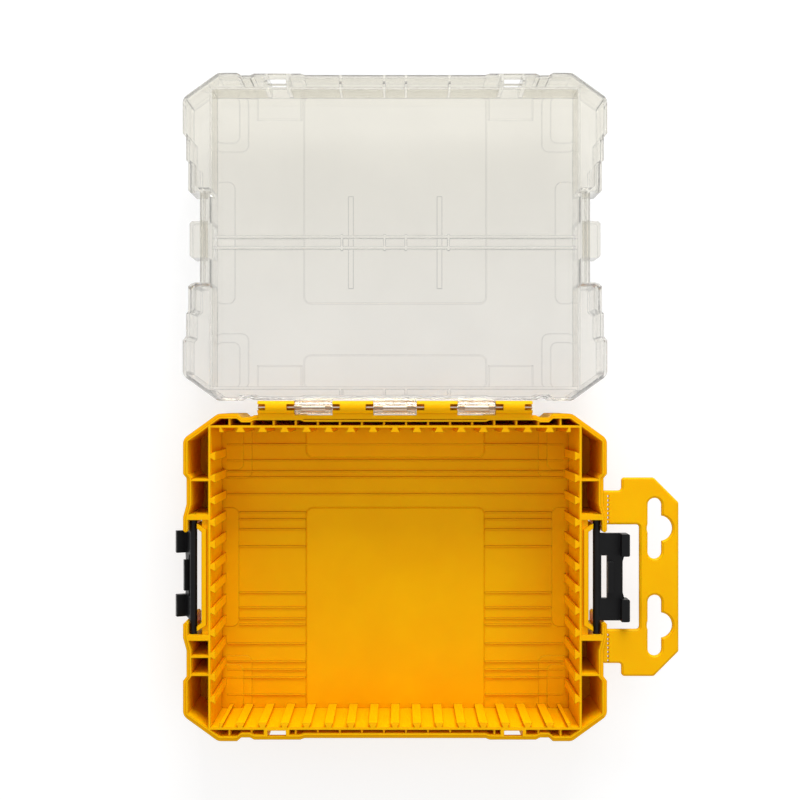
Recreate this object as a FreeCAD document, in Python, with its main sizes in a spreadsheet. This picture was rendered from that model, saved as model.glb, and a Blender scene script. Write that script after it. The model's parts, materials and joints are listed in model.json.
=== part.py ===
"""A moulded tool storage case, lying open: tray, clear lid, hinge pin, two latches and a hang tab.

The origin is the centre of the tray's underside. X runs along the hinge, Y points from the front
edge to the hinge and Z points up. All sizes are in millimetres.
"""
import FreeCAD, Part
import math
import os

import Sketcher

doc = FreeCAD.newDocument("tool_case")

# Driving dimensions

SIZES = {
    # Outline shared by tray and lid
    "half_width": 109.0,
    "half_depth": 84.2,
    "corner_x": 18.0,
    "corner_y": 13.0,
    "corner_round": 5.0,
    "corner_block": 9.8,
    "side_block": 18.0,
    "step_run": 2.2,
    "notch_width": 4.4,
    "notch_depth": 1.9,
    "middle_x": 46.5,
    "middle_recess": 1.6,
    "pad_recess": 0.8,
    "lid_notch_depth": 1.3,
    "lid_middle_recess": 1.1,
    "lid_pad_recess": 0.4,
    "bottom_bevel": 1.2,
    # Tray
    "base_height": 40.0,
    "wall": 2.6,
    "rim_step_width": 1.6,
    "rim_step_depth": 0.8,
    "inner_wall": 1.3,
    "floor": 2.0,
    "side_cavity": 10.45,
    "end_cavity": 3.4,
    "band_length": 13.5,
    "band_ramp": 6.5,
    "side_recess": 1.8,
    "rib": 1.1,
    "rib_drop": 0.9,
    "pitch": 11.35,
    "side_rib_y": 50.0,
    "extra_rib_y": 40.7,
    "dovetail_neck": 2.5,
    "dovetail_head": 4.8,
    "dovetail_height": 2.3,
    "half_dovetail_inset": 4.4,
    # Shallow moulded relief on the floor of the tray and inside the lid
    "relief": 0.7,
    "relief_round": 4.0,
    "relief_slope": 45.0,
    "panel_half_x": 48.9,
    "panel_edge_y": 32.7,
    "hinge_panel_y": 59.6,
    "bay_pad_width": 9.4,
    "bay_pad_half": 32.6,
    "corner_pad_width": 16.6,
    "corner_pad_depth": 28.6,
    "corner_pad_step": 4.3,
    "link_pad_length": 24.0,
    "link_pad_depth": 11.6,
    "ridge": 0.7,
    "ridge_height": 0.8,
    "ridge_end_gap": 3.0,
    # Connector slots in the front rims
    "connector_x": 60.8,
    "boss_width": 13.2,
    "connector_length": 9.4,
    "connector_width": 2.9,
    "connector_gap": 0.4,
    "shelf": 3.0,
    # Latches
    "bar_radius": 1.9,
    "bar_fit": 0.05,
    "bar_clearance": 0.4,
    "bar_seat": 2.6,
    "axis_drop": 4.0,
    "latch_half": 22.5,
    "latch_gap_half": 11.0,
    "latch_plate": 2.8,
    "latch_window_start": 2.3,
    "latch_window_end": 5.4,
    "latch_bridge_end": 14.2,
    "latch_waist": 0.9,
    "lip_start": 12.0,
    "lip_end": 16.3,
    "lip_reach": 6.3,
    "bead_half": 8.0,
    "bead_length": 2.8,
    "bead_reach": 3.6,
    "latch_round": 1.0,
    "left_lean": 22.0,
    # Latch bays in the tray
    "bay_end_gap": 7.0,
    "cross_wall": 3.0,
    "bay_mouth_gap": 0.7,
    "bay_mouth_bevel": 0.9,
    "bay_step": 1.05,
    "bay_wall": 2.4,
    "bay_curl": 3.0,
    "bay_curl_gap": 1.9,
    "bay_shelf_drop": 1.5,
    # Hinge
    "hinge_offset": 3.3,
    "heel_gap": 0.4,
    "parting_gap": 0.3,
    "knuckle_radius": 3.3,
    "knuckle_gap": 0.3,
    "pin_radius": 0.95,
    "pin_fit": 0.04,
    "middle_knuckle": 21.8,
    "inner_knuckle": 21.4,
    "lid_knuckle": 19.1,
    "outer_knuckle": 19.0,
    "hinge_slot_length": 4.0,
    "hinge_slot_width": 3.0,
    "hinge_slot_depth": 2.2,
    "window_length": 12.5,
    "window_width": 3.4,
    "web_drop": 9.0,
    # Lid
    "lid_height": 25.0,
    "lid_wall": 1.8,
    "plate": 1.8,
    "ledge_inset": 4.5,
    "ledge_length": 12.3,
    "recess_bevel": 1.4,
    "recess_gap": 2.6,
    "recess_side_gap": 0.95,
    "lip_gap": 0.7,
    "catch_gap": 0.3,
    "ledge_plate": 1.6,
    "guard_side_gap": 1.4,
    "guard_bevel": 1.2,
    "guard_end_gap": 0.4,
    "guard_inset": 1.7,
    "inner_rim_drop": 5.0,
    "cross_rib_y": 2.9,
    "cross_rib": 1.5,
    "cross_rib_height": 3.0,
    "tie_end": 0.6,
    "short_rib_x": 23.6,
    "short_rib": 2.6,
    "short_rib_half": 24.5,
    "short_rib_height": 1.2,
    # Hang tab
    "tab_thickness": 2.2,
    "tab_drop": 2.0,
    "tab_arm_gap": 4.5,
    "tab_arm_width": 17.5,
    "tab_shoulder": 6.7,
    "tab_neck": 7.8,
    "tab_window_gap": 5.6,
    "slot_inset": 7.9,
    "slot_pitch": 50.0,
    "slot_width": 7.2,
    "slot_length": 31.4,
    "slot_bump_radius": 6.6,
    "slot_bump_reach": 9.2,
    "tab_edge": 12.3,
    "tab_edge_bevel": 0.9,
    "tab_corner": 12.8,
    "tab_round": 1.6,
    "perforation": 0.8,
    "perforation_length": 1.2,
    "perforation_pitch": 2.2,
}

# Places along Y of the fine ridges on the floor: right across at the back, between middle panel and
# bay pads, and from the middle panel to the side walls at the front
LONG_RIDGES = (67.0, 58.3, 52.3, 49.0, 39.8)
SHORT_RIDGES = (29.9, 26.1, 20.6, 11.3, -13.9, -22.0, -28.0, -31.4)
FRONT_RIDGES = (-41.7, -51.6, -56.0, -60.3, -69.6)

# Places of the ties in the lid, in steps of the pitch to either side of the middle
TIE_STEPS = (0.5, 2.5)

sheet = doc.addObject("Spreadsheet::Sheet", "dim")
for row, (alias, number) in enumerate(SIZES.items(), start=1):
    sheet.set("A%d" % row, alias)
    sheet.set("B%d" % row, str(number))
    sheet.setAlias("B%d" % row, alias)
doc.recompute()


def value(expression):
    """The number that an expression over the sheet's cells gives."""
    result = sheet.evalExpression(expression)
    return float(getattr(result, "Value", result))


# Sizes that follow from the driving ones

TRAY_X = "(dim.half_width - dim.wall - dim.side_cavity - dim.inner_wall)"
TRAY_Y = "(dim.half_depth - dim.wall - dim.end_cavity - dim.inner_wall)"
WALL_X = "(%s + dim.inner_wall)" % TRAY_X
WALL_Y = "(%s + dim.inner_wall)" % TRAY_Y
NOTCH_X = "(dim.half_width - dim.corner_x - dim.corner_block - dim.step_run - dim.notch_width)"
BAND_OUTER = "(dim.half_depth - dim.corner_y - dim.side_block - dim.step_run)"
BAND_INNER = "(%s - dim.band_length)" % BAND_OUTER
BAND_END = "(%s - dim.band_ramp)" % BAND_INNER
RIM = "dim.base_height"
CREST = "((dim.rim_step_width + dim.wall) / 2)"
HINGE_Y = "(dim.half_depth + dim.hinge_offset)"
HINGE_RISE = "(dim.parting_gap / 2)"
AXIS_X = "(dim.half_width - dim.wall - dim.bar_clearance - dim.bar_radius)"
AXIS_Z = "(dim.base_height - dim.axis_drop)"
BAY_HALF = "(dim.latch_half + dim.bay_end_gap)"
BAY_MOUTH = "(dim.latch_half + dim.bay_mouth_gap)"
BAY_FACE = "(%s + dim.bay_step + dim.bay_wall)" % WALL_X
BAR_LENGTH = "2 * (%s + dim.bar_seat)" % BAY_HALF
CROWN_X = "(dim.half_width - dim.side_recess)"
LEDGE_X = "(dim.half_width - dim.ledge_inset)"
RECESS_HALF = "(dim.latch_half + dim.recess_side_gap)"
LEDGE_INNER = "(%s + dim.recess_bevel)" % RECESS_HALF
LEDGE_OUTER = "(%s + dim.ledge_length)" % LEDGE_INNER
RECESS_X = "(%s - dim.latch_plate / 2 - dim.recess_gap)" % AXIS_X
SETBACK_X = "(%s - dim.lip_reach - dim.lip_gap)" % AXIS_X
LEDGE_HEIGHT = "(dim.lip_start - dim.axis_drop - dim.parting_gap - dim.catch_gap)"
GUARD_START = "(dim.latch_bridge_end - dim.axis_drop - dim.parting_gap + dim.guard_end_gap)"
TAB_NEAR = "(dim.latch_half + dim.tab_arm_gap)"
TAB_FAR = "(%s + dim.tab_arm_width)" % TAB_NEAR
TAB_HALF = "(%s + dim.tab_shoulder)" % TAB_FAR
TAB_WINDOW_X = "(%s + dim.lip_end + dim.tab_window_gap)" % AXIS_X
SLOT_X = "(%s + dim.slot_inset)" % TAB_WINDOW_X
TAB_END_X = "(%s + dim.tab_edge)" % SLOT_X

# Ends of the hinge knuckles, from the middle outwards; tray and lid take turns
KNUCKLE_1 = "(dim.middle_knuckle / 2)"
KNUCKLE_2 = "(%s + dim.inner_knuckle)" % KNUCKLE_1
KNUCKLE_3 = "(%s + dim.lid_knuckle)" % KNUCKLE_2
KNUCKLE_4 = "(%s + dim.outer_knuckle)" % KNUCKLE_3
TRAY_KNUCKLES = [("-" + KNUCKLE_4, "-" + KNUCKLE_3), ("-" + KNUCKLE_2, "-" + KNUCKLE_1),
                 (KNUCKLE_1, KNUCKLE_2), (KNUCKLE_3, KNUCKLE_4)]
LID_KNUCKLES = [("-" + KNUCKLE_3, "-" + KNUCKLE_2), ("-" + KNUCKLE_1, KNUCKLE_1), (KNUCKLE_2, KNUCKLE_3)]


# Sketch and feature helpers

def origin_item(body, role):
    return next(item for item in body.Origin.OriginFeatures if item.Role == role)


def new_sketch(body, name, role, level):
    """An empty sketch on one of the body's own planes, raised by the expression level."""
    sketch = body.newObject("Sketcher::SketchObject", name + "_sketch")
    sketch.AttachmentSupport = [(origin_item(body, role), "")]
    sketch.MapMode = "FlatFace"
    sketch.setExpression("AttachmentOffset.Base.z", level)
    return sketch


def tie(sketch, constraints, expressions):
    """Adds all constraints at once and binds each one to its expression, if it has one."""
    first = sketch.ConstraintCount
    sketch.addConstraint(constraints)
    for offset, expression in enumerate(expressions):
        if expression:
            sketch.setExpression("Constraints[%d]" % (first + offset), expression)


def point_constraints(geometry, position, point):
    """Fixes one point of the sketch at a pair of expressions."""
    return [Sketcher.Constraint(kind, -1, 1, geometry, position, value(expression))
            for kind, expression in zip(("DistanceX", "DistanceY"), point)]


def add_loop(sketch, points):
    """A closed polygon; each corner is a pair of expressions."""
    start = sketch.GeometryCount
    corners = [FreeCAD.Vector(value(x), value(y), 0) for x, y in points]
    count = len(corners)
    sketch.addGeometry([Part.LineSegment(corners[i], corners[(i + 1) % count]) for i in range(count)], False)
    constraints = []
    expressions = []
    for i, point in enumerate(points):
        constraints.append(Sketcher.Constraint("Coincident", start + i, 2, start + (i + 1) % count, 1))
        constraints += point_constraints(start + i, 1, point)
        expressions += ["", *point]
    tie(sketch, constraints, expressions)


def add_circle(sketch, centre, radius):
    middle = FreeCAD.Vector(value(centre[0]), value(centre[1]), 0)
    index = sketch.addGeometry(Part.Circle(middle, FreeCAD.Vector(0, 0, 1), value(radius)), False)
    size = Sketcher.Constraint("Radius", index, value(radius))
    tie(sketch, [*point_constraints(index, 3, centre), size], [*centre, radius])


def add_round_box(sketch, x_low, x_high, y_low, y_high, radius):
    """A rectangle with four rounded corners."""
    start = sketch.GeometryCount
    x0, x1, y0, y1, r = (value(item) for item in (x_low, x_high, y_low, y_high, radius))
    lines = [((x0 + r, y0), (x1 - r, y0)), ((x1, y0 + r), (x1, y1 - r)),
             ((x1 - r, y1), (x0 + r, y1)), ((x0, y1 - r), (x0, y0 + r))]
    centres = [(x1 - r, y0 + r), (x1 - r, y1 - r), (x0 + r, y1 - r), (x0 + r, y0 + r)]
    geometry = []
    for quarter, ((begin, end), centre) in enumerate(zip(lines, centres), start=-1):
        geometry.append(Part.LineSegment(FreeCAD.Vector(*begin, 0), FreeCAD.Vector(*end, 0)))
        circle = Part.Circle(FreeCAD.Vector(*centre, 0), FreeCAD.Vector(0, 0, 1), r)
        geometry.append(Part.ArcOfCircle(circle, quarter * math.pi / 2, (quarter + 1) * math.pi / 2))
    sketch.addGeometry(geometry, False)
    sides = (("Horizontal", "DistanceY", y_low), ("Vertical", "DistanceX", x_high),
             ("Horizontal", "DistanceY", y_high), ("Vertical", "DistanceX", x_low))
    constraints = []
    expressions = []
    for i, (direction, distance, place) in enumerate(sides):
        line = start + 2 * i
        following = start + (2 * i + 2) % 8
        constraints += [Sketcher.Constraint("Tangent", line, 2, line + 1, 1),
                        Sketcher.Constraint("Tangent", line + 1, 2, following, 1),
                        Sketcher.Constraint(direction, line),
                        Sketcher.Constraint(distance, -1, 1, line, 1, value(place)),
                        Sketcher.Constraint("Radius", line + 1, r)]
        expressions += ["", "", "", place, radius]
    tie(sketch, constraints, expressions)


def polygons(body, name, role, level, *loops):
    sketch = new_sketch(body, name, role, level)
    for points in loops:
        add_loop(sketch, points)
    return sketch


def new_feature(body, kind, name, sketch, length, midplane):
    """A pad or pocket; coplanar faces are merged once, at the end of each body."""
    feature = body.newObject(kind, name)
    feature.Profile = sketch
    feature.setExpression("Length", length)
    feature.Midplane = midplane
    feature.Refine = False
    return feature


def pad(body, name, sketch, length, midplane=False):
    return new_feature(body, "PartDesign::Pad", name, sketch, length, midplane)


def sloped_pad(body, name, sketch, length):
    """A pad with sloping sides, as on shallow moulded relief."""
    feature = pad(body, name, sketch, length)
    feature.setExpression("TaperAngle", "-dim.relief_slope * 1 deg")
    return feature


def pocket(body, name, sketch, length, midplane=False):
    """Cuts from the sketch towards lower levels, or both ways."""
    return new_feature(body, "PartDesign::Pocket", name, sketch, length, midplane)


def repeat(body, name, original, axis_role, spacing, count):
    """Copies a feature evenly along one of the body's own axes."""
    feature = body.newObject("PartDesign::LinearPattern", name)
    feature.Originals = [original]
    feature.Direction = (origin_item(body, axis_role), [""])
    feature.setExpression("Length", "%d * %s" % (count - 1, spacing))
    feature.Occurrences = count
    feature.Refine = False
    body.Tip = feature
    return feature


def dress_edges(body, kind, name, base, chosen, prop, size):
    """A fillet or chamfer on the edges of the base feature that the test picks."""
    doc.recompute()
    names = ["Edge%d" % i for i, edge in enumerate(base.Shape.Edges, start=1) if chosen(edge)]
    feature = body.newObject(kind, name)
    feature.Base = (base, names)
    feature.setExpression(prop, size)
    feature.Refine = False
    return feature


def round_edges(body, name, base, chosen, radius):
    return dress_edges(body, "PartDesign::Fillet", name, base, chosen, "Radius", radius)


def bevel_edges(body, name, base, chosen, size):
    return dress_edges(body, "PartDesign::Chamfer", name, base, chosen, "Size", size)


def merged(body):
    """Merges the coplanar faces of a finished body."""
    body.Tip.Refine = True
    return body


def is_upright(edge):
    return isinstance(edge.Curve, Part.Line) and abs(edge.Curve.Direction.z) > 0.99


def lies_at(level):
    """A test for edges that lie flat at one height."""
    height = value(level)
    return lambda edge: all(abs(vertex.Point.z - height) < 0.001 for vertex in edge.Vertexes)


def box_loop(x_low, x_high, y_low, y_high):
    return [(x_low, y_low), (x_high, y_low), (x_high, y_high), (x_low, y_high)]


def mirrored(points, flip_x=False, flip_y=False):
    return [("-(%s)" % x if flip_x else x, "-(%s)" % y if flip_y else y) for x, y in points]


def both_sides(points):
    """The loop and its mirror image across the YZ plane."""
    return [points, mirrored(points, flip_x=True)]


def front_and_back(points):
    """The loop and its mirror image across the XZ plane."""
    return [points, mirrored(points, flip_y=True)]


def four_ways(points):
    return both_sides(points) + both_sides(mirrored(points, flip_y=True))


# Outlines

def end_points(inset, prefix=""):
    """Half of the back edge, from the middle to the chamfered corner, moved inwards by inset."""
    run = "sqrt(dim.corner_x ^ 2 + dim.corner_y ^ 2)"
    middle = "dim.half_depth - dim.%smiddle_recess - %s" % (prefix, inset)
    face = "dim.half_depth - dim.%spad_recess - %s" % (prefix, inset)
    notch = "dim.half_depth - dim.%snotch_depth - %s" % (prefix, inset)
    corner = "dim.half_depth - %s" % inset
    return [
        ("dim.middle_x", middle),
        ("dim.middle_x + dim.step_run", face),
        ("%s - dim.step_run" % NOTCH_X, face),
        (NOTCH_X, notch),
        ("%s + dim.notch_width" % NOTCH_X, notch),
        ("%s + dim.notch_width + dim.step_run" % NOTCH_X, corner),
        ("dim.half_width - dim.corner_x - %s * (%s - dim.corner_x) / dim.corner_y" % (inset, run), corner),
        ("dim.half_width - %s" % inset,
         "dim.half_depth - dim.corner_y - %s * (%s - dim.corner_y) / dim.corner_x" % (inset, run)),
    ]


def tray_side_points(inset):
    """Half of the tray's right edge, from the corner to the latch bay."""
    face = "dim.half_width - %s" % inset
    band = "dim.half_width - dim.side_recess - %s" % inset
    return [(face, "%s + dim.step_run" % BAND_OUTER), (band, BAND_OUTER),
            (band, BAND_INNER), (face, BAND_END)]


def lid_side_points(inset, ledge, recess):
    """Half of the lid's right edge, from the corner over the ledge to the latch recess."""
    face = "dim.half_width - %s" % inset
    band = "dim.half_width - dim.side_recess - %s" % inset
    return [
        (face, "%s + dim.step_run" % BAND_OUTER),
        (band, BAND_OUTER),
        (band, "%s + dim.step_run" % LEDGE_OUTER),
        ("%s - %s" % (ledge, inset), LEDGE_OUTER),
        ("%s - %s" % (ledge, inset), "%s + %s" % (LEDGE_INNER, inset)),
        ("%s - dim.recess_bevel - %s" % (ledge, inset), "%s + %s" % (RECESS_HALF, inset)),
        ("%s - %s" % (recess, inset), "%s + %s" % (RECESS_HALF, inset)),
    ]


def whole_outline(quarter):
    """Closes a quarter of the outline, given from the back middle to the right middle."""
    front_right = mirrored(quarter[::-1], flip_y=True)
    front_left = mirrored(quarter, flip_x=True, flip_y=True)
    back_left = mirrored(quarter[::-1], flip_x=True)
    return quarter + front_right + front_left + back_left


def tray_outline(inset):
    return whole_outline(end_points(inset) + tray_side_points(inset))


def lid_outline(inset, ledge, recess):
    return whole_outline(end_points(inset, "lid_") + lid_side_points(inset, ledge, recess))


def is_outer_corner(edge):
    """The upright edges at the ends of the four corner chamfers."""
    if not is_upright(edge):
        return False
    x = abs(edge.Vertexes[0].Point.x)
    y = abs(edge.Vertexes[0].Point.y)
    ends = (("dim.half_width - dim.corner_x", "dim.half_depth"),
            ("dim.half_width", "dim.half_depth - dim.corner_y"))
    return any(math.hypot(x - value(end_x), y - value(end_y)) < 0.01 for end_x, end_y in ends)


# Features that tray and lid share

def add_hinge(body, profile, axis_y, axis_z, gaps, toward_wall):
    """One barrel and web along the whole hinge, cut away where the other half's knuckles go."""
    middle = "-%s" % KNUCKLE_4
    width = "2 * %s" % KNUCKLE_4
    pad(body, "knuckle_web", polygons(body, "knuckle_web", "YZ_Plane", middle, profile), width)
    barrel = new_sketch(body, "knuckles", "YZ_Plane", middle)
    add_circle(barrel, (axis_y, axis_z), "dim.knuckle_radius")
    pad(body, "knuckles", barrel, width)
    wall_face = "%s %s (dim.hinge_offset + dim.pad_recess)" % (axis_y, toward_wall)
    far_side = "%s %s -(2 * dim.knuckle_radius)" % (axis_y, toward_wall)
    loops = []
    for low, high in gaps:
        loops.append(box_loop("%s - dim.knuckle_gap / 2" % low, "%s + dim.knuckle_gap / 2" % high,
                              wall_face, far_side))
    gap_sketch = polygons(body, "knuckle_gaps", "XY_Plane", "%s + 2 * dim.knuckle_radius" % axis_z, *loops)
    pocket(body, "knuckle_gaps", gap_sketch, "dim.web_drop + 3 * dim.knuckle_radius")
    bore = new_sketch(body, "hinge_bore", "YZ_Plane", "0")
    add_circle(bore, (axis_y, axis_z), "dim.pin_radius + dim.pin_fit")
    pocket(body, "hinge_bore", bore, "4 * %s" % KNUCKLE_4, midplane=True)


def add_hinge_openings(body, name, loops, axis_z, depth):
    """Cuts the barrel open from above to a depth below its axis, so that the pin shows."""
    sketch = polygons(body, name, "XY_Plane", "%s + 2 * dim.knuckle_radius" % axis_z, *loops)
    pocket(body, name, sketch, "2 * dim.knuckle_radius + %s" % depth)


def add_bosses(body, rim, bottom, edge, wall_inset):
    """Two blocks between the front wall and the inner wall."""
    boss = box_loop("dim.connector_x - dim.boss_width / 2", "dim.connector_x + dim.boss_width / 2",
                    edge + WALL_Y, "%s(dim.half_depth - %s)" % (edge, wall_inset))
    sketch = polygons(body, "bosses", "XY_Plane", bottom, *both_sides(boss))
    pad(body, "bosses", sketch, "(%s) - (%s)" % (rim, bottom))


def cut_connectors(body, rim, depth, edge):
    """Leaves a slotted shelf at the rim, over a pocket that opens outwards and below."""
    x_low = "dim.connector_x - dim.connector_length / 2"
    x_high = "dim.connector_x + dim.connector_length / 2"
    beyond = "%s(dim.half_depth + dim.wall)" % edge
    mouth = both_sides(box_loop(x_low, x_high, edge + WALL_Y, beyond))
    level = "%s - dim.shelf" % rim
    pocket(body, "connector_mouths", polygons(body, "connector_mouths", "XY_Plane", level, *mouth), depth)
    near = "%s(%s + dim.connector_gap)" % (edge, WALL_Y)
    far = "%s(%s + dim.connector_gap + dim.connector_width)" % (edge, WALL_Y)
    slot = both_sides(box_loop(x_low, x_high, near, far))
    pocket(body, "connector_slots", polygons(body, "connector_slots", "XY_Plane", rim, *slot),
           "2 * dim.shelf")


def add_relief(body, level, hinge_sign):
    """Shallow raised panels; hinge_sign tells which end of the body the hinge is on."""
    front_sign = "-" if hinge_sign == "" else ""
    far = sorted([front_sign + WALL_Y, "%sdim.panel_edge_y" % hinge_sign], key=value)
    near = sorted(["%sdim.hinge_panel_y" % hinge_sign, hinge_sign + WALL_Y], key=value)
    middle = new_sketch(body, "middle_panels", "XY_Plane", level)
    add_round_box(middle, "-dim.panel_half_x", "dim.panel_half_x", *far, "dim.relief_round")
    add_round_box(middle, "-dim.panel_half_x", "dim.panel_half_x", *near, "dim.relief_round")
    sloped_pad(body, "middle_panels", middle, "dim.relief")
    sides = new_sketch(body, "side_pads", "XY_Plane", level)
    corners = new_sketch(body, "corner_pads", "XY_Plane", level)
    for sign in ("", "-"):
        span = sorted([sign + WALL_X, "%s(%s - dim.bay_pad_width)" % (sign, TRAY_X)], key=value)
        add_round_box(sides, *span, "-dim.bay_pad_half", "dim.bay_pad_half", "dim.relief_round")
        for end in ("", "-"):
            for sketch, step in ((sides, "0"), (corners, "dim.corner_pad_step")):
                inner_x = "%s(%s - dim.corner_pad_width + %s)" % (sign, TRAY_X, step)
                inner_y = "%s(%s - dim.corner_pad_depth + %s)" % (end, TRAY_Y, step)
                add_round_box(sketch, *sorted([sign + WALL_X, inner_x], key=value),
                              *sorted([end + WALL_Y, inner_y], key=value), "dim.relief_round")
    sloped_pad(body, "side_pads", sides, "dim.relief / 2")
    sloped_pad(body, "corner_pads", corners, "dim.relief")


# Tray

def ridge_loop(x_low, x_high, y):
    return box_loop(x_low, x_high, "%s - dim.ridge / 2" % y, "%s + dim.ridge / 2" % y)


def add_ridges(body):
    """Fine ridges across the floor, in three groups."""
    inner = "dim.panel_half_x"
    beside_pad = "(%s - dim.bay_pad_width)" % TRAY_X
    wall_end = "(%s - dim.ridge_end_gap)" % TRAY_X
    groups = [("back_ridges", [ridge_loop("-" + wall_end, wall_end, y) for y in LONG_RIDGES]),
              ("bay_ridges", [ridge_loop(inner, beside_pad, y) for y in SHORT_RIDGES]),
              ("front_ridges", [ridge_loop(inner, wall_end, y) for y in FRONT_RIDGES])]
    for name, loops in groups:
        if name != "back_ridges":
            loops = [side for loop in loops for side in both_sides(loop)]
        pad(body, name, polygons(body, name, "XY_Plane", "dim.floor", *loops), "dim.ridge_height")


def cut_latch_bays(body):
    """Bays that open below and at the side."""
    side = "(dim.half_width - dim.wall)"
    bevel = "dim.bay_mouth_bevel"
    half = [(BAY_FACE, BAY_HALF), (side, BAY_HALF), (side, "%s + %s" % (BAY_MOUTH, bevel)),
            ("%s + %s" % (side, bevel), BAY_MOUTH), ("dim.half_width - %s" % bevel, BAY_MOUTH),
            ("(dim.half_width + dim.wall)", "%s + dim.wall + %s" % (BAY_MOUTH, bevel))]
    bay = half + mirrored(half[::-1], flip_y=True)
    pocket(body, "bays", polygons(body, "bays", "XY_Plane", RIM, *both_sides(bay)), RIM)


def add_bay_walls(body):
    """The bays' inner sides, and the cross walls and ribs that carry the latch pivots."""
    cross = box_loop(WALL_X, "dim.half_width - %s" % CREST, BAY_HALF, "%s + dim.cross_wall" % BAY_HALF)
    band = "(dim.half_width - dim.side_recess - %s)" % CREST
    rib = box_loop(WALL_X, band, "dim.side_rib_y - dim.rib / 2", "dim.side_rib_y + dim.rib / 2")
    extra = box_loop("-" + band, "-" + WALL_X,
                     "-dim.extra_rib_y - dim.rib / 2", "-dim.extra_rib_y + dim.rib / 2")
    walls = polygons(body, "cross_walls", "XY_Plane", "0", *four_ways(cross), *four_ways(rib), extra)
    pad(body, "cross_walls", walls, RIM)
    shelf = box_loop(WALL_X, BAY_FACE, "-" + BAY_HALF, BAY_HALF)
    pad(body, "bay_shelves", polygons(body, "bay_shelves", "XY_Plane", "0", *both_sides(shelf)),
        "%s - dim.bay_shelf_drop" % RIM)
    end = "(%s - dim.bay_curl_gap)" % BAY_HALF
    curl_x = "(%s - dim.bar_radius - dim.bar_clearance)" % AXIS_X
    outer = [("%s - dim.bay_wall" % BAY_FACE, "(%s - dim.bay_curl)" % end), (curl_x, end)]
    inner = [(curl_x, "(%s - dim.bay_wall)" % end),
             (BAY_FACE, "(%s - dim.bay_curl - dim.bay_wall / 2)" % end)]
    loop = mirrored(outer, flip_y=True)[::-1] + outer + inner + mirrored(inner[::-1], flip_y=True)
    pad(body, "bay_walls", polygons(body, "bay_walls", "XY_Plane", "0", *both_sides(loop)), RIM)
    pivot = new_sketch(body, "pivot_holes", "XZ_Plane", "0")
    for sign in ("", "-"):
        add_circle(pivot, (sign + AXIS_X, AXIS_Z), "dim.bar_radius + dim.bar_fit")
    pocket(body, "pivot_holes", pivot, "2 * (%s + 2 * dim.cross_wall)" % BAY_HALF, midplane=True)


def dovetail(along):
    """A divider rib on the back inner wall at the place along X."""
    tip = "%s - dim.dovetail_height" % TRAY_Y
    return [("%s - dim.dovetail_neck / 2" % along, TRAY_Y), ("%s + dim.dovetail_neck / 2" % along, TRAY_Y),
            ("%s + dim.dovetail_head / 2" % along, tip), ("%s - dim.dovetail_head / 2" % along, tip)]


def inside_outline():
    """The inner wall's inner face, with half a divider rib at each end of the front and back."""
    flat = "(%s - dim.half_dovetail_inset)" % TRAY_X
    tip = "%s - dim.dovetail_height" % TRAY_Y
    rib = [("%s - dim.dovetail_neck / 2" % flat, TRAY_Y), ("%s - dim.dovetail_head / 2" % flat, tip),
           (flat, tip), (flat, TRAY_Y)]
    return whole_outline([*rib, (TRAY_X, TRAY_Y)])


def turned(points):
    """The same rib on the right inner wall."""
    return [(y.replace(TRAY_Y, TRAY_X), x) for x, y in points]


def add_dovetails(body):
    """Dovetail ribs that hold slide-in dividers."""
    steps = int((value(TRAY_X) - value("dim.dovetail_head")) / value("dim.pitch"))
    loops = front_and_back(dovetail("(%d * dim.pitch)" % -steps))
    first = pad(body, "end_dovetail", polygons(body, "end_dovetail", "XY_Plane", "0", *loops), RIM)
    repeat(body, "end_dovetails", first, "X_Axis", "dim.pitch", 2 * steps + 1)
    steps = int((value(TRAY_Y) - value("dim.dovetail_head")) / value("dim.pitch") + 0.5)
    loops = both_sides(turned(dovetail("(%.1f * dim.pitch)" % (0.5 - steps))))
    first = pad(body, "side_dovetail", polygons(body, "side_dovetail", "XY_Plane", "0", *loops), RIM)
    repeat(body, "side_dovetails", first, "Y_Axis", "dim.pitch", 2 * steps)


def add_stiffening_ribs(body):
    """Thin webs between the inner and the outer wall at the front and back."""
    steps = int(value("(dim.half_width - dim.corner_x) / dim.pitch + 0.5"))
    first = "(%.1f * dim.pitch)" % (0.5 - steps)
    loop = box_loop("%s - dim.rib / 2" % first, "%s + dim.rib / 2" % first, WALL_Y,
                    "dim.half_depth - (dim.middle_recess + dim.wall) / 2")
    web = pad(body, "end_rib", polygons(body, "end_rib", "XY_Plane", "dim.floor", *front_and_back(loop)),
              "%s - dim.rib_drop - dim.floor" % RIM)
    repeat(body, "end_ribs", web, "X_Axis", "dim.pitch", 2 * steps)


def make_tray_inside():
    """The tray's inner wall with its divider ribs, and all that joins it to the outer wall."""
    body = doc.addObject("PartDesign::Body", "tray_inside")
    ring = polygons(body, "inner_wall", "XY_Plane", "0",
                    box_loop("-" + WALL_X, WALL_X, "-" + WALL_Y, WALL_Y), inside_outline())
    pad(body, "inner_wall", ring, RIM)
    add_bay_walls(body)
    add_stiffening_ribs(body)
    add_bosses(body, RIM, "0", "-", "(dim.pad_recess + %s)" % CREST)
    cut_connectors(body, RIM, RIM, "-")
    add_dovetails(body)
    return body


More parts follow.
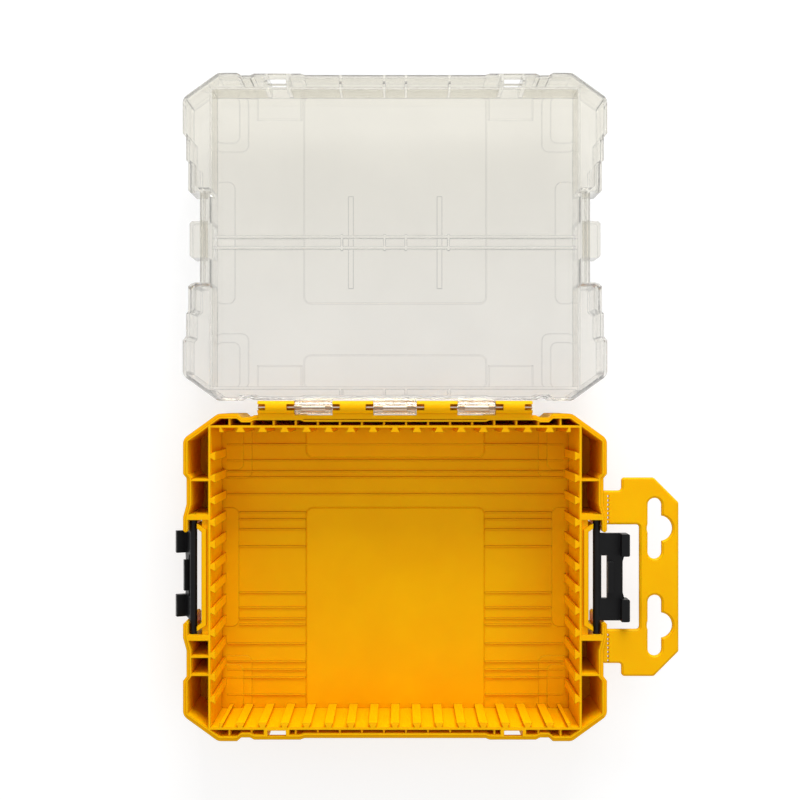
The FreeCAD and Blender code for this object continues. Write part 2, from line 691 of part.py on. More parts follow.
def make_tray():
    body = doc.addObject("PartDesign::Body", "base_tray")
    block = pad(body, "block", polygons(body, "block", "XY_Plane", "0", tray_outline("0")), RIM)
    rounded = round_edges(body, "corner_rounds", block, is_outer_corner, "dim.corner_round")
    bevel_edges(body, "bottom_edge", rounded, lies_at("0"), "dim.bottom_bevel")
    hollow = polygons(body, "hollow", "XY_Plane", RIM, tray_outline("dim.wall"))
    pocket(body, "hollow", hollow, "%s - dim.floor" % RIM)
    border = box_loop("-2 * dim.half_width", "2 * dim.half_width",
                      "-2 * dim.half_depth", "2 * dim.half_depth")
    step = polygons(body, "rim_rebate", "XY_Plane", RIM, border, tray_outline("dim.rim_step_width"))
    pocket(body, "rim_rebate", step, "dim.rim_step_depth")
    add_ridges(body)
    add_relief(body, "dim.floor", "")
    axis_z = "(%s + %s)" % (RIM, HINGE_RISE)
    wall_y = "dim.half_depth - dim.middle_recess - dim.wall / 2"
    profile = [(HINGE_Y, axis_z), (HINGE_Y, "%s - dim.knuckle_radius" % axis_z),
               (wall_y, "%s - dim.web_drop" % axis_z), (wall_y, RIM)]
    add_hinge(body, profile, HINGE_Y, axis_z, LID_KNUCKLES, "-")
    slot_low = "%s - dim.hinge_slot_width / 2" % HINGE_Y
    slot_high = "%s + dim.hinge_slot_width / 2" % HINGE_Y
    loops = []
    for low, high in TRAY_KNUCKLES:
        loops.append(box_loop(low, "%s + dim.hinge_slot_length" % low, slot_low, slot_high))
        loops.append(box_loop("%s - dim.hinge_slot_length" % high, high, slot_low, slot_high))
    add_hinge_openings(body, "hinge_slots", loops, axis_z, "dim.hinge_slot_depth")
    cut_latch_bays(body)
    cut_connectors(body, RIM, RIM, "-")
    inside = make_tray_inside()
    joined = body.newObject("PartDesign::Boolean", "inside_joined")
    joined.Type = "Fuse"
    joined.setObjects([inside])
    return merged(body)


# Lid, modelled about the middle of its rim with the hinge on its -Y side

def make_lid():
    body = doc.addObject("PartDesign::Body", "lid")
    top = "-dim.lid_height"
    pad(body, "crown", polygons(body, "crown", "XY_Plane", top, lid_outline("0", CROWN_X, SETBACK_X)),
        "dim.lid_height - %s + dim.ledge_plate" % LEDGE_HEIGHT)
    rim_outline = lid_outline("0", LEDGE_X, RECESS_X)
    rim_sketch = polygons(body, "rim_block", "XY_Plane", "-" + LEDGE_HEIGHT, rim_outline)
    rim = pad(body, "rim_block", rim_sketch, LEDGE_HEIGHT)
    rim.Refine = True
    rounded = round_edges(body, "corner_rounds", rim, is_outer_corner, "dim.corner_round")
    bevel_edges(body, "crown_edge", rounded, lies_at(top), "dim.bottom_bevel")
    hollow = polygons(body, "hollow", "XY_Plane", "0", lid_outline("dim.lid_wall", LEDGE_X, SETBACK_X))
    pocket(body, "hollow", hollow, "dim.lid_height - dim.plate")
    behind = box_loop("%s - dim.lid_wall - dim.inner_wall" % SETBACK_X, "%s - dim.lid_wall" % RECESS_X,
                      "-" + RECESS_HALF, RECESS_HALF)
    pocket(body, "ledge_hollows", polygons(body, "ledge_hollows", "XY_Plane", "0", *both_sides(behind)),
           "%s - dim.ledge_plate" % LEDGE_HEIGHT)
    guard_half = "(dim.latch_gap_half - dim.guard_side_gap)"
    guard_x = "(dim.half_width - dim.guard_inset)"
    quarter = [("%s - dim.guard_bevel" % guard_x, guard_half), (guard_x, "%s - dim.guard_bevel" % guard_half)]
    guard_root = "%s - dim.lid_wall / 2" % SETBACK_X
    half = [(guard_root, guard_half), *quarter]
    guard = half + mirrored(half[::-1], flip_y=True)
    pad(body, "latch_guards", polygons(body, "latch_guards", "XY_Plane", top, *both_sides(guard)),
        "dim.lid_height - %s" % GUARD_START)
    ring = polygons(body, "inner_rim", "XY_Plane", top, box_loop("-" + WALL_X, WALL_X, "-" + WALL_Y, WALL_Y),
                    box_loop("-" + TRAY_X, TRAY_X, "-" + TRAY_Y, TRAY_Y))
    pad(body, "inner_rim", ring, "dim.lid_height - dim.inner_rim_drop")
    inside = "(dim.plate - dim.lid_height)"
    add_relief(body, inside, "-")
    add_lid_ribs(body, inside)
    axis_y = "-" + HINGE_Y
    wall_y = "-(dim.half_depth - dim.lid_middle_recess - dim.lid_wall / 2)"
    heel_y = "%s - (dim.hinge_offset + dim.pad_recess - dim.heel_gap)" % axis_y
    foot_z = "%s - dim.knuckle_radius" % HINGE_RISE
    profile = [(heel_y, HINGE_RISE), (heel_y, foot_z), (axis_y, foot_z),
               (wall_y, "%s - dim.web_drop" % HINGE_RISE), (wall_y, "0")]
    add_hinge(body, profile, axis_y, HINGE_RISE, TRAY_KNUCKLES, "+")
    loops = []
    for low, high in LID_KNUCKLES:
        middle = "((%s) + (%s)) / 2" % (low, high)
        loops.append(box_loop("%s - dim.window_length / 2" % middle, "%s + dim.window_length / 2" % middle,
                              "%s - dim.window_width / 2" % axis_y, "%s + dim.window_width / 2" % axis_y))
    add_hinge_openings(body, "hinge_windows", loops, HINGE_RISE, "0")
    add_bosses(body, "0", top, "", "dim.lid_wall / 2")
    cut_connectors(body, "0", "dim.lid_height", "")
    body.setExpression("Placement.Base.y", "2 * %s" % HINGE_Y)
    body.setExpression("Placement.Base.z", RIM)
    return merged(body)


def add_lid_ribs(body, inside):
    """A double rib across the lid, short ribs, and ties between the ribs and between the walls."""
    edge = "dim.cross_rib_y + dim.cross_rib / 2"
    cross = box_loop("-" + TRAY_X, TRAY_X, "dim.cross_rib_y - dim.cross_rib / 2", edge)
    ties = []
    webs = []
    wall_y = "dim.half_depth - dim.lid_middle_recess - dim.lid_wall / 2"
    for steps in TIE_STEPS:
        span = ("%.1f * dim.pitch - dim.rib / 2" % steps, "%.1f * dim.pitch + dim.rib / 2" % steps)
        ties += both_sides(box_loop(*span, "-(%s + dim.tie_end)" % edge, "%s + dim.tie_end" % edge))
        webs += four_ways(box_loop(*span, WALL_Y, wall_y))
    for name, loops in (("cross_ribs", front_and_back(cross)), ("cross_ties", ties)):
        pad(body, name, polygons(body, name, "XY_Plane", inside, *loops), "dim.cross_rib_height")
    pad(body, "wall_ties", polygons(body, "wall_ties", "XY_Plane", inside, *webs),
        "-(%s) - dim.inner_rim_drop" % inside)
    short = box_loop("dim.short_rib_x - dim.short_rib / 2", "dim.short_rib_x + dim.short_rib / 2",
                     "-dim.short_rib_half", "dim.short_rib_half")
    pad(body, "short_ribs", polygons(body, "short_ribs", "XY_Plane", inside, *both_sides(short)),
        "dim.short_rib_height")
    link = box_loop("dim.panel_half_x + dim.ridge", "dim.panel_half_x + dim.ridge + dim.link_pad_length",
                    "%s - dim.link_pad_depth" % TRAY_Y, WALL_Y)
    sloped_pad(body, "link_pads", polygons(body, "link_pads", "XY_Plane", inside, *four_ways(link)),
               "dim.relief")


# Latches, modelled flat: X points away from the pivot, Z is the side that the lips stand on

def make_latch(name):
    body = doc.addObject("PartDesign::Body", name)
    bar = new_sketch(body, "pivot_bar", "XZ_Plane", "0")
    add_circle(bar, ("0", "0"), "dim.bar_radius")
    pad(body, "pivot_bar", bar, BAR_LENGTH, midplane=True)
    gap = "dim.latch_gap_half"
    waist = "dim.latch_bridge_end - dim.latch_waist"
    half = [("dim.latch_bridge_end", "-" + gap), ("dim.lip_end", "-" + gap),
            ("dim.lip_end", "-dim.latch_half"), ("0", "-dim.latch_half")]
    plate = half + mirrored(half[::-1], flip_y=True) + [(waist, "dim.bead_half"), (waist, "-dim.bead_half")]
    window = box_loop("dim.latch_window_start", "dim.latch_window_end", "-" + gap, gap)
    plate_sketch = polygons(body, "plate", "XY_Plane", "0", plate, window)
    pad(body, "plate", plate_sketch, "dim.latch_plate", midplane=True)
    bead = box_loop("dim.latch_window_end", "dim.latch_window_end + dim.bead_length", "-dim.bead_half",
                    "dim.bead_half")
    pad(body, "bead", polygons(body, "bead", "XY_Plane", "0", bead), "dim.bead_reach")
    lip = box_loop("dim.lip_start", "dim.lip_end", gap, "dim.latch_half")
    lips = pad(body, "lips", polygons(body, "lips", "XY_Plane", "0", *front_and_back(lip)), "dim.lip_reach")
    lips.Refine = True
    tip = value("dim.lip_reach")
    end = value("dim.lip_end")

    def is_lip_end(edge):
        at_end = all(abs(vertex.Point.x - end) < 0.01 for vertex in edge.Vertexes)
        on_top = all(vertex.Point.z > tip - 0.01 for vertex in edge.Vertexes)
        return at_end and (on_top or is_upright(edge))

    round_edges(body, "lip_rounds", lips, is_lip_end, "dim.latch_round")
    return merged(body)


def make_latches():
    right = make_latch("right_latch")
    left = make_latch("left_latch")
    for body, sign in ((right, ""), (left, "-")):
        body.setExpression("Placement.Base.x", sign + AXIS_X)
        body.setExpression("Placement.Base.z", AXIS_Z)
    half_turn = FreeCAD.Rotation(FreeCAD.Vector(0, 0, 1), 180)
    hang = FreeCAD.Rotation(FreeCAD.Vector(0, 1, 0), value("dim.left_lean - 90"))
    left.Placement.Rotation = hang.multiply(half_turn)
    return [right, left]


# Hang tab, made to be snapped off along its perforations

def make_hang_tab():
    body = doc.addObject("PartDesign::Body", "hang_tab")
    top = "%s - dim.tab_drop" % RIM
    face = "dim.half_width"
    band = "(dim.half_width - dim.side_recess)"
    neck = "(dim.half_width + dim.tab_neck)"
    edge_half = [(TAB_WINDOW_X, TAB_NEAR), (face, TAB_NEAR), (face, BAND_END), (band, BAND_INNER),
                 (band, TAB_FAR), (neck, TAB_FAR), (neck, TAB_HALF),
                 ("%s - dim.tab_corner" % TAB_END_X, TAB_HALF),
                 (TAB_END_X, "%s - dim.tab_corner" % TAB_HALF)]
    outline = edge_half + mirrored(edge_half[::-1], flip_y=True)
    plate = pad(body, "tab_plate",
                polygons(body, "tab_plate", "XY_Plane", "%s - dim.tab_thickness" % top, outline),
                "dim.tab_thickness")
    inner = value(face) + 0.01
    round_edges(body, "tab_rounds", plate,
                lambda edge: is_upright(edge) and edge.Vertexes[0].Point.x > inner, "dim.tab_round")

    # Two hanging slots, each with a round bump on the outer side
    reach = "(dim.slot_length / 2 - dim.slot_width / 2)"
    half = "dim.slot_width / 2"
    bump_x = "(%s + dim.slot_bump_reach - dim.slot_bump_radius)" % SLOT_X
    depth = "2 * dim.tab_thickness"
    middle = new_sketch(body, "slot_middles", "XY_Plane", top)
    ends = new_sketch(body, "slot_ends", "XY_Plane", top)
    bumps = new_sketch(body, "slot_bumps", "XY_Plane", top)
    for centre in ("dim.slot_pitch / 2", "-dim.slot_pitch / 2"):
        add_loop(middle, box_loop("%s - %s" % (SLOT_X, half), "%s + %s" % (SLOT_X, half),
                                  "%s - %s" % (centre, reach), "%s + %s" % (centre, reach)))
        add_circle(ends, (SLOT_X, "%s - %s" % (centre, reach)), half)
        add_circle(ends, (SLOT_X, "%s + %s" % (centre, reach)), half)
        add_circle(bumps, (bump_x, centre), "dim.slot_bump_radius")
    for name, sketch in (("slot_middles", middle), ("slot_ends", ends), ("slot_bumps", bumps)):
        slots = pocket(body, name, sketch, depth)
    slots.Refine = True
    on_top = lies_at(top)
    bevel_edges(body, "tab_edges", slots,
                lambda edge: on_top(edge) and max(v.Point.x for v in edge.Vertexes) > inner,
                "dim.tab_edge_bevel")

    # Perforations across both arms
    x_low = "dim.half_width + dim.perforation / 2"
    x_high = "dim.half_width + 3 * dim.perforation / 2"
    loops = []
    for start in ("%s + dim.perforation" % TAB_NEAR, "-%s + dim.perforation" % TAB_FAR):
        loops.append(box_loop(x_low, x_high, start, "%s + dim.perforation_length" % start))
    first = pocket(body, "perforation", polygons(body, "perforation", "XY_Plane", top, *loops), depth)
    count = int(value("(dim.tab_arm_width - dim.perforation) / dim.perforation_pitch"))
    repeat(body, "perforations", first, "Y_Axis", "dim.perforation_pitch", count)
    return merged(body)


def make_hinge_pin():
    pin = doc.addObject("Part::Cylinder", "hinge_pin")
    pin.setExpression("Radius", "dim.pin_radius")
    pin.setExpression("Height", "2 * %s" % KNUCKLE_4)
    pin.Placement.Rotation = FreeCAD.Rotation(FreeCAD.Vector(0, 1, 0), 90)
    pin.setExpression("Placement.Base.x", "-" + KNUCKLE_4)
    pin.setExpression("Placement.Base.y", HINGE_Y)
    pin.setExpression("Placement.Base.z", "%s + %s" % (RIM, HINGE_RISE))
    return pin


parts = [make_tray(), make_lid(), make_hinge_pin(), *make_latches(), make_hang_tab()]
doc.recompute()

# Every object has to be sound before anything is written

for item in doc.Objects:
    if "Invalid" in item.State or "Error" in item.State:
        raise RuntimeError("%s failed: %s" % (item.Name, item.State))
os.makedirs("parts", exist_ok=True)
for item in parts:
    if item.Shape.isNull() or not item.Shape.isValid():
        raise RuntimeError("%s has no valid shape" % item.Label)
    print(item.Label, "solids", len(item.Shape.Solids), "volume", round(item.Shape.Volume))
for item in parts:
    item.Shape.exportStep("parts/%s.step" % item.Label)
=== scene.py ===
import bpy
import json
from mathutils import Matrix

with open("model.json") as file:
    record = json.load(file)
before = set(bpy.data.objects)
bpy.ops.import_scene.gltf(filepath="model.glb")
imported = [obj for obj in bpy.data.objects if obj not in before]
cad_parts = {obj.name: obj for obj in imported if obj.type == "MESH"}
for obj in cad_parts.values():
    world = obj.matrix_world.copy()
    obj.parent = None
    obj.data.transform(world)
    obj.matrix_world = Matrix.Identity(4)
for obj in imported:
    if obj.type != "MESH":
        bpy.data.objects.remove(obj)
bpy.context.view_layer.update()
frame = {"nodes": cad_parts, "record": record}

# %% [markdown]
# The case is a hard moulded product, so every piece of it already has its true shape in the frame.
# Blender's work here is the surface: what the plastics and the steel look like under soft light.
# A frame node is never moved or reshaped. It only gets a material in place of its plain one.

# %% Helpers for building materials out of nodes
import bpy
from mathutils import Vector

MILLIMETRE = 0.001
WHITE = (1, 1, 1, 1)
NOISE_LOW = 0.35
NOISE_HIGH = 0.65
EDGE_TURN = 0.93


def linear(red, green, blue):
    """Turns screen colour numbers from 0 to 255 into the linear colour that a shader reads."""
    result = []
    for number in (red, green, blue):
        share = number / 255
        result.append(share / 12.92 if share <= 0.04045 else ((share + 0.055) / 1.055) ** 2.4)
    return (*result, 1.0)


def new_material(name):
    """A material whose node tree holds only a Principled shader and its output."""
    material = bpy.data.materials.new(name)
    material.use_nodes = True
    nodes = material.node_tree.nodes
    return material, nodes, material.node_tree.links, nodes["Principled BSDF"]


def noise(nodes, links, scale, detail):
    """A noise texture on Object coordinates, so it keeps its real size on every piece."""
    place = nodes.new("ShaderNodeTexCoord")
    texture = nodes.new("ShaderNodeTexNoise")
    texture.inputs["Scale"].default_value = scale
    texture.inputs["Detail"].default_value = detail
    links.new(place.outputs["Object"], texture.inputs["Vector"])
    return texture


def spread(nodes, links, source, low, high):
    """Stretches a noise, which lies around one half, to the range from low to high."""
    mapper = nodes.new("ShaderNodeMapRange")
    mapper.inputs["From Min"].default_value = NOISE_LOW
    mapper.inputs["From Max"].default_value = NOISE_HIGH
    mapper.inputs["To Min"].default_value = low
    mapper.inputs["To Max"].default_value = high
    links.new(source.outputs["Fac"], mapper.inputs["Value"])
    return mapper


def two_tones(nodes, links, source, first, second):
    """Blends between two colours by a noise."""
    ramp = nodes.new("ShaderNodeValToRGB")
    ramp.color_ramp.elements[0].position = NOISE_LOW
    ramp.color_ramp.elements[0].color = first
    ramp.color_ramp.elements[1].position = NOISE_HIGH
    ramp.color_ramp.elements[1].color = second
    links.new(source.outputs["Fac"], ramp.inputs["Fac"])
    return ramp


def bump(nodes, links, source, strength, height):
    """A bump of the given height in metres from a noise."""
    node = nodes.new("ShaderNodeBump")
    node.inputs["Strength"].default_value = strength
    node.inputs["Distance"].default_value = height
    links.new(source.outputs["Fac"], node.inputs["Height"])
    return node


def soft_edges(nodes, links, bump_node, radius):
    """Lets the light roll over sharp edges, as it does over the small radius of a mould."""
    bevel = nodes.new("ShaderNodeBevel")
    bevel.samples = 4
    bevel.inputs["Radius"].default_value = radius
    links.new(bevel.outputs["Normal"], bump_node.inputs["Normal"])


def painted_edge_shade(nodes, links, radius, on_faces, at_edges):
    """A number for painted shade along edges. A Bevel normal turns away from the face's own normal beside
    an edge.
    """
    bevel = nodes.new("ShaderNodeBevel")
    bevel.samples = 8
    bevel.inputs["Radius"].default_value = radius
    surface = nodes.new("ShaderNodeNewGeometry")
    turn = nodes.new("ShaderNodeVectorMath")
    turn.operation = "DOT_PRODUCT"
    links.new(bevel.outputs["Normal"], turn.inputs[0])
    links.new(surface.outputs["Normal"], turn.inputs[1])
    mapper = nodes.new("ShaderNodeMapRange")
    mapper.inputs["From Min"].default_value = 1.0
    mapper.inputs["From Max"].default_value = EDGE_TURN
    mapper.inputs["To Min"].default_value = on_faces
    mapper.inputs["To Max"].default_value = at_edges
    links.new(turn.outputs["Value"], mapper.inputs["Value"])
    return mapper


def shade(nodes, links, colour_socket, amount_socket):
    """Multiplies a colour by a number."""
    node = nodes.new("ShaderNodeVectorMath")
    node.operation = "SCALE"
    links.new(colour_socket, node.inputs[0])
    links.new(amount_socket, node.inputs["Scale"])
    return node


# %% [markdown]
# The tray and its hang tab are one deep yellow polypropylene.
# Its surface has a fine spark-eroded grain, and its shine is uneven because the resin cools unevenly.
# Three noises do this: a broad one for colour, a middle one for roughness and a fine one for the grain.
# Ribs and steps of the moulding look like thin darker lines, because the light rolls away over their
# edges. That is painted shade: a painted line would need a map for each piece, so the shader finds the
# edges by itself with a Bevel node and darkens the colour there.
# Subsurface light softens the shadows, because this plastic lets some light in.

# %% Satin yellow plastic of the tray and the hang tab
def make_tray_plastic():
    material, nodes, links, shader = new_material("satin_yellow_plastic")
    broad = noise(nodes, links, scale=28.0, detail=4.0)
    tones = two_tones(nodes, links, broad, linear(247, 178, 0), linear(252, 185, 0))
    # Painted shade: the yellow is darkened beside every edge, where the light rolls away.
    lines = painted_edge_shade(nodes, links, radius=0.5 * MILLIMETRE, on_faces=1.0, at_edges=0.6)
    edge_shaded_tones = shade(nodes, links, tones.outputs["Color"], lines.outputs["Result"])
    links.new(edge_shaded_tones.outputs["Vector"], shader.inputs["Base Color"])
    uneven = noise(nodes, links, scale=160.0, detail=3.0)
    gloss = spread(nodes, links, uneven, low=0.42, high=0.54)
    links.new(gloss.outputs["Result"], shader.inputs["Roughness"])
    fine = noise(nodes, links, scale=2600.0, detail=2.0)
    grain = bump(nodes, links, fine, strength=0.25, height=0.03 * MILLIMETRE)
    soft_edges(nodes, links, grain, radius=0.35 * MILLIMETRE)
    links.new(grain.outputs["Normal"], shader.inputs["Normal"])
    shader.inputs["IOR"].default_value = 1.49
    shader.inputs["Specular IOR Level"].default_value = 0.06
    shader.inputs["Subsurface Weight"].default_value = 0.3
    shader.inputs["Subsurface Radius"].default_value = (1.0, 0.4, 0.03)
    shader.inputs["Subsurface Scale"].default_value = 6 * MILLIMETRE
    return material


tray_plastic = make_tray_plastic()
print("made", tray_plastic.name)

# %% [markdown]
# The latches are black nylon with a satin shine and a slightly coarser grain.
# A pure black hides every form, so the two tones are a very dark grey, as black plastic is in daylight.

# %% Satin black plastic of the latches
def make_latch_plastic():
    material, nodes, links, shader = new_material("satin_black_plastic")
    broad = noise(nodes, links, scale=60.0, detail=4.0)
    tones = two_tones(nodes, links, broad, linear(9, 9, 10), linear(14, 14, 15))
    links.new(tones.outputs["Color"], shader.inputs["Base Color"])
    uneven = noise(nodes, links, scale=300.0, detail=3.0)
    gloss = spread(nodes, links, uneven, low=0.34, high=0.46)
    links.new(gloss.outputs["Result"], shader.inputs["Roughness"])
    fine = noise(nodes, links, scale=2000.0, detail=2.0)
    grain = bump(nodes, links, fine, strength=0.3, height=0.03 * MILLIMETRE)
    soft_edges(nodes, links, grain, radius=0.4 * MILLIMETRE)
    links.new(grain.outputs["Normal"], shader.inputs["Normal"])
    shader.inputs["IOR"].default_value = 1.53
    shader.inputs["Specular IOR Level"].default_value = 0.14
    return material


latch_plastic = make_latch_plastic()
print("made", latch_plastic.name)

# %% [markdown]
# The hinge pin is a drawn steel wire. Drawing leaves fine lines along the wire.
# A noise with unequal scales gives those lines. The Mapping node makes it long along X and thin across.

# %% Bright drawn steel of the hinge pin
def make_pin_steel():
    material, nodes, links, shader = new_material("drawn_steel")
    place = nodes.new("ShaderNodeTexCoord")
    stretch = nodes.new("ShaderNodeMapping")
    stretch.inputs["Scale"].default_value = (40.0, 4000.0, 4000.0)
    lines = nodes.new("ShaderNodeTexNoise")
    lines.inputs["Scale"].default_value = 1.0
    lines.inputs["Detail"].default_value = 3.0
    links.new(place.outputs["Object"], stretch.inputs["Vector"])
    links.new(stretch.outputs["Vector"], lines.inputs["Vector"])
    tones = two_tones(nodes, links, lines, linear(176, 170, 160), linear(206, 201, 192))
    links.new(tones.outputs["Color"], shader.inputs["Base Color"])
    gloss = spread(nodes, links, lines, low=0.18, high=0.32)
    links.new(gloss.outputs["Result"], shader.inputs["Roughness"])
    drawn = bump(nodes, links, lines, strength=0.2, height=0.01 * MILLIMETRE)
    links.new(drawn.outputs["Normal"], shader.inputs["Normal"])
    shader.inputs["Metallic"].default_value = 1.0
    return material


pin_steel = make_pin_steel()
print("made", pin_steel.name)

# %% [markdown]
# The lid is a clear polycarbonate moulding. Light goes through it, so its shader is mostly transmission.
# Its surface is polished, but it waves a little where the plastic flowed, and handling leaves faint haze.
# The waves are a broad weak bump, and the haze is a small change of roughness.
# Its knuckles look warm from the yellow light of the tray's knuckles around them, and its far edge looks
# greyer, where the light falls off.
# A colour ramp along the lid paints both in: a painted yellow reflection in the knuckles and painted shade
# at the far edge. The lid's own mesh and the hinge axis tell where the ramp goes.

# %% Tint along the lid, with a painted reflection and painted shade
lid_reach = [corner.co.y for corner in frame["nodes"]["lid"].data.vertices]
NEAR_EDGE = min(lid_reach)
FAR_EDGE = max(lid_reach)
hinges = {joint["name"]: joint for joint in frame["record"]["behaviour"]["joints"]}
HINGE_LINE = hinges["lid_hinge"]["pos_m"][1]
WARM_END = HINGE_LINE + 3.1 * MILLIMETRE
CLEAR_START = WARM_END + 1.75 * MILLIMETRE


def share_of_lid(y):
    """How far a place lies along the lid, from 0 at the near edge to 1 at the far edge."""
    return (y - NEAR_EDGE) / (FAR_EDGE - NEAR_EDGE)


def tint_with_painted_light_along_lid(nodes, links):
    """A painted yellow reflection in the knuckles, then clear, and painted shade at the far edge."""
    place = nodes.new("ShaderNodeTexCoord")
    parts = nodes.new("ShaderNodeSeparateXYZ")
    links.new(place.outputs["Object"], parts.inputs["Vector"])
    share = nodes.new("ShaderNodeMapRange")
    share.inputs["From Min"].default_value = NEAR_EDGE
    share.inputs["From Max"].default_value = FAR_EDGE
    links.new(parts.outputs["Y"], share.inputs["Value"])
    ramp = nodes.new("ShaderNodeValToRGB")
    links.new(share.outputs["Result"], ramp.inputs["Fac"])
    stops = ramp.color_ramp.elements
    # Painted reflection: the yellow of the tray's knuckles, painted into the lid's knuckles.
    stops[0].position = share_of_lid(WARM_END)
    stops[0].color = linear(222, 202, 180)
    # Painted shade: the far edge is greyer where the light falls off.
    stops[1].position = 1.0
    stops[1].color = linear(228, 225, 214)
    stops.new(share_of_lid(CLEAR_START)).color = linear(239, 237, 232)
    return ramp


print("lid runs from", round(NEAR_EDGE, 4), "to", round(FAR_EDGE, 4), "m along Y")

# %% Clear plastic of the lid
def make_lid_plastic():
    material, nodes, links, shader = new_material("clear_plastic")
    lid_tint_and_painted_light = tint_with_painted_light_along_lid(nodes, links)
    broad = noise(nodes, links, scale=22.0, detail=3.0)
    cloud = spread(nodes, links, broad, low=0.97, high=1.0)
    tones = shade(nodes, links, lid_tint_and_painted_light.outputs["Color"], cloud.outputs["Result"])
    # Painted shade: the clear plastic is tinted darker beside every edge, for the dark lines that
    # refraction and shade make there.
    lines = painted_edge_shade(nodes, links, radius=0.6 * MILLIMETRE, on_faces=1.0, at_edges=0.55)
    edge_shaded_tint = shade(nodes, links, tones.outputs["Vector"], lines.outputs["Result"])
    links.new(edge_shaded_tint.outputs["Vector"], shader.inputs["Base Color"])
    handled = noise(nodes, links, scale=70.0, detail=5.0)
    haze = spread(nodes, links, handled, low=0.02, high=0.07)
    links.new(haze.outputs["Result"], shader.inputs["Roughness"])
    waves = noise(nodes, links, scale=55.0, detail=2.0)
    flow = bump(nodes, links, waves, strength=0.05, height=0.2 * MILLIMETRE)
    links.new(flow.outputs["Normal"], shader.inputs["Normal"])
    shader.inputs["Transmission Weight"].default_value = 1.0
    shader.inputs["IOR"].default_value = 1.5
    shader.inputs["Alpha"].default_value = 0.9
    return material


lid_plastic = make_lid_plastic()
print("made", lid_plastic.name)

# %% [markdown]
# Each node of the frame names a material slot in its record, and each slot has one finish here.
# Going through the record keeps the two in step, whatever pieces the case has.

# %% Give every frame node its finish
FINISHES = {
    "tray_plastic": tray_plastic,
    "lid_plastic": lid_plastic,
    "pin_steel": pin_steel,
    "latch_plastic": latch_plastic,
}
for subpart in frame["record"]["subparts"]:
    node = frame["nodes"][subpart["node"]]
    node.data.materials.clear()
    node.data.materials.append(FINISHES[subpart["material_slot"]])
    print(subpart["node"], "has", FINISHES[subpart["material_slot"]].name)

# %% [markdown]
# The floor is a wide pale sheet under the case. A photograph of a product on white has no horizon.
# For rays from the camera, and rays that come out of steel or clear plastic, it glows until it is white.
# Its own shading is real under that, so a soft shadow is left beneath the case.

# %% Pale floor
import bmesh

FLOOR_HALF = 3.0
FLOOR_DROP = 0.2 * MILLIMETRE
PAPER_GLOW = 0.66
PAPER_COLOUR = (0.4, 0.4, 0.4)


def make_floor():
    mesh = bpy.data.meshes.new("floor")
    sheet = bmesh.new()
    bmesh.ops.create_grid(sheet, x_segments=1, y_segments=1, size=FLOOR_HALF)
    bmesh.ops.translate(sheet, verts=sheet.verts, vec=Vector((0, 0, -FLOOR_DROP)))
    sheet.to_mesh(mesh)
    sheet.free()
    floor = bpy.data.objects.new("floor", mesh)
    bpy.context.scene.collection.objects.link(floor)
    return floor


def white_to_the_eye(nodes, links, as_light, as_seen):
    """One number for rays that light the case, and another for rays that end in the picture."""
    path = nodes.new("ShaderNodeLightPath")
    direct = nodes.new("ShaderNodeMath")
    direct.operation = "MAXIMUM"
    links.new(path.outputs["Is Camera Ray"], direct.inputs[0])
    links.new(path.outputs["Is Glossy Ray"], direct.inputs[1])
    seen = nodes.new("ShaderNodeMath")
    seen.operation = "MAXIMUM"
    links.new(direct.outputs["Value"], seen.inputs[0])
    links.new(path.outputs["Is Transmission Ray"], seen.inputs[1])
    choice = nodes.new("ShaderNodeMapRange")
    choice.inputs["To Min"].default_value = as_light
    choice.inputs["To Max"].default_value = as_seen
    links.new(seen.outputs["Value"], choice.inputs["Value"])
    return choice


def make_floor_paper():
    material, nodes, links, shader = new_material("white_paper")
    shader.inputs["Base Color"].default_value = (*PAPER_COLOUR, 1)
    shader.inputs["Roughness"].default_value = 0.9
    glow = white_to_the_eye(nodes, links, 0.0, PAPER_GLOW)
    shader.inputs["Emission Color"].default_value = WHITE
    links.new(glow.outputs["Result"], shader.inputs["Emission Strength"])
    return material


floor = make_floor()
floor.data.materials.append(make_floor_paper())
print("floor is", 2 * FLOOR_HALF, "m wide")

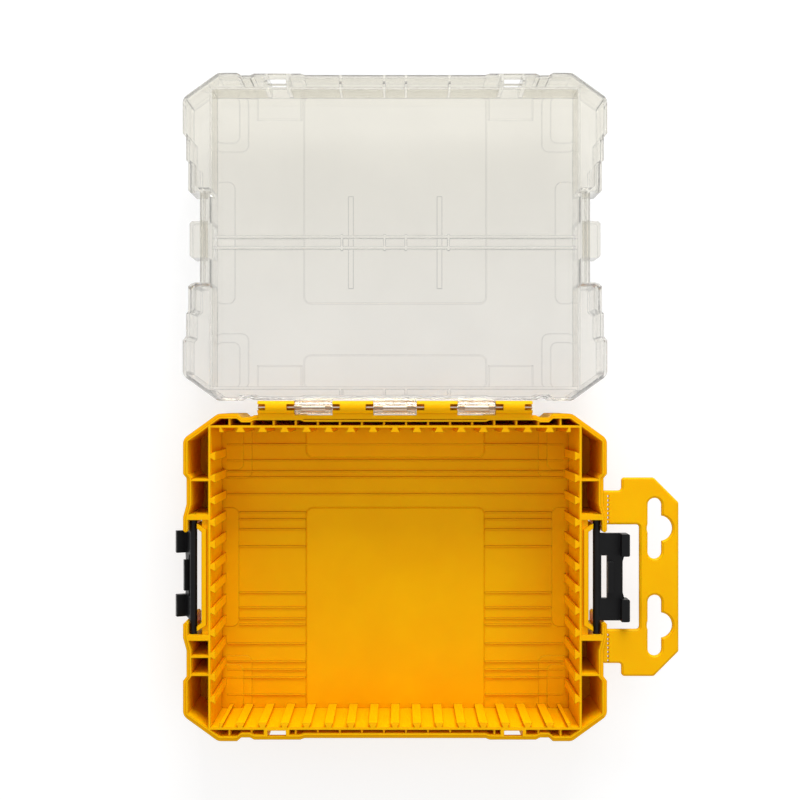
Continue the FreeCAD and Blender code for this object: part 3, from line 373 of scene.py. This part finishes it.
# %% [markdown]
# The main light is a large soft box beyond the lid, and a weaker one stands on the right.
# The world fills the shadows. It is white to the camera, and dimmer as a light.

# %% Soft studio light
LIGHT_TARGET = Vector((0, 0.05, 0))


def area_light(name, place, size, watts):
    lamp = bpy.data.lights.new(name, "AREA")
    lamp.shape = "SQUARE"
    lamp.size = size
    lamp.energy = watts
    holder = bpy.data.objects.new(name, lamp)
    holder.location = place
    holder.rotation_euler = (LIGHT_TARGET - Vector(place)).to_track_quat("-Z", "Y").to_euler()
    bpy.context.scene.collection.objects.link(holder)


area_light("back_softbox", place=(0.2, 1.8, 0.66), size=1.0, watts=34)
area_light("right_softbox", place=(1.3, -0.1, 1.3), size=0.8, watts=1.5)
print("lights:", [item.name for item in bpy.data.lights])

# %% White room
ROOM_LIGHT = 0.7


def make_world():
    world = bpy.data.worlds.new("white_room")
    world.use_nodes = True
    nodes = world.node_tree.nodes
    links = world.node_tree.links
    room = nodes["Background"]
    room.inputs["Color"].default_value = WHITE
    strength = white_to_the_eye(nodes, links, ROOM_LIGHT, 1.0)
    links.new(strength.outputs["Result"], room.inputs["Strength"])
    return world


bpy.context.scene.world = make_world()
bpy.context.scene.view_settings.view_transform = "Standard"
print("room is", bpy.context.scene.world.name)

# %% [markdown]
# The photograph looks straight down at the open case from about 0.6 m above its rim.
# The width that the picture covers at the rim gives the lens: sensor width times distance over that width.

# %% Camera straight above the open case
SENSOR_WIDTH = 36.0
RIM_HEIGHT = 40 * MILLIMETRE
CAMERA_PLACE = Vector((2.57 * MILLIMETRE, 91.2 * MILLIMETRE, 630 * MILLIMETRE))
PICTURE_WIDTH = 410.7 * MILLIMETRE

camera_data = bpy.data.cameras.new("camera")
camera_data.sensor_width = SENSOR_WIDTH
camera_data.lens = SENSOR_WIDTH * (CAMERA_PLACE.z - RIM_HEIGHT) / PICTURE_WIDTH
camera = bpy.data.objects.new("camera", camera_data)
camera.location = CAMERA_PLACE
bpy.context.scene.collection.objects.link(camera)
bpy.context.scene.camera = camera
print("lens", round(camera_data.lens, 2), "mm")

# %% [markdown]

# %% Import json
import json
